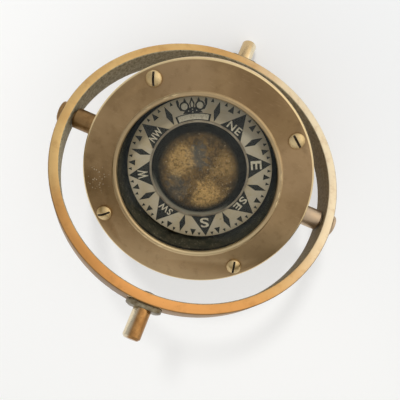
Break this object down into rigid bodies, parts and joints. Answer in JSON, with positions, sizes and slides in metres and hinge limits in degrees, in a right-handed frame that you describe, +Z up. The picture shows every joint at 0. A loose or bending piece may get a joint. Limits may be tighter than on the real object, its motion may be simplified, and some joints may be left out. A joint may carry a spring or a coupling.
{
  "type": "ship compass",
  "caption": "Liquid-filled ship compass with a float card, weighted bowl and slotted-screw bezel, hung in a gimbal ring with two outer pins.",
  "frame": {"origin": "on the table, under the middle of the bowl's foot", "axes": "+Z up along the bowl's axis, X along the two inner pivots, the ring swung about X with its near pin raised on the -Y side"},
  "size_m": [0.144, 0.1294, 0.1207],
  "materials": {
    "brass": "satin, darkened with age",
    "ring_brass": "satin face, rough cast inner wall",
    "bronze": "brown satin",
    "gasket": "matt black",
    "glass": "polished",
    "lead": "dull cast lead",
    "steel": "ground",
    "nut_steel": "dull plated",
    "fibre": "matt red fibre",
    "card": "printed matt",
    "jewel": "polished",
    "trim": "satin",
    "black_wire": "matt black"
  },
  "bodies": {
    "bowl_body": {"bowl": "brass", "bowl_flange": "brass", "bezel_ring": "bronze", "bezel_screws": "brass", "bezel_gasket": "gasket", "glass_gasket": "gasket", "cover_glass": "glass", "left_pivot_boss": "brass", "right_pivot_boss": "brass", "left_pivot_screw": "brass", "right_pivot_screw": "brass", "filler_plug": "brass", "filler_washer": "fibre", "bottom_weight": "lead", "weight_screws": "brass", "pivot_post": "brass", "pivot_needle": "steel", "lubber_line": "black_wire"},
    "ring_body": {"gimbal_ring": "ring_brass", "near_trunnion": "brass", "far_trunnion": "brass", "near_trunnion_nut": "nut_steel", "far_trunnion_nut": "nut_steel"},
    "card_body": {"compass_card": "card", "card_trim": "trim", "float_dome": "brass", "float_pan": "brass", "jewel_holder": "brass", "jewel": "jewel", "magnet_plate": "brass", "magnets": "steel"}
  },
  "joints": [
    {"name": "ring_swing", "type": "hinge", "parent": "bowl_body", "child": "ring_body", "pos_m": [0, 0, 0.061], "axis": [1, 0, 0], "continuous": true},
    {"name": "card_turn", "type": "hinge", "parent": "bowl_body", "child": "card_body", "pos_m": [0, 0, 0.061], "axis": [0, 0, 1], "continuous": true}
  ]
}
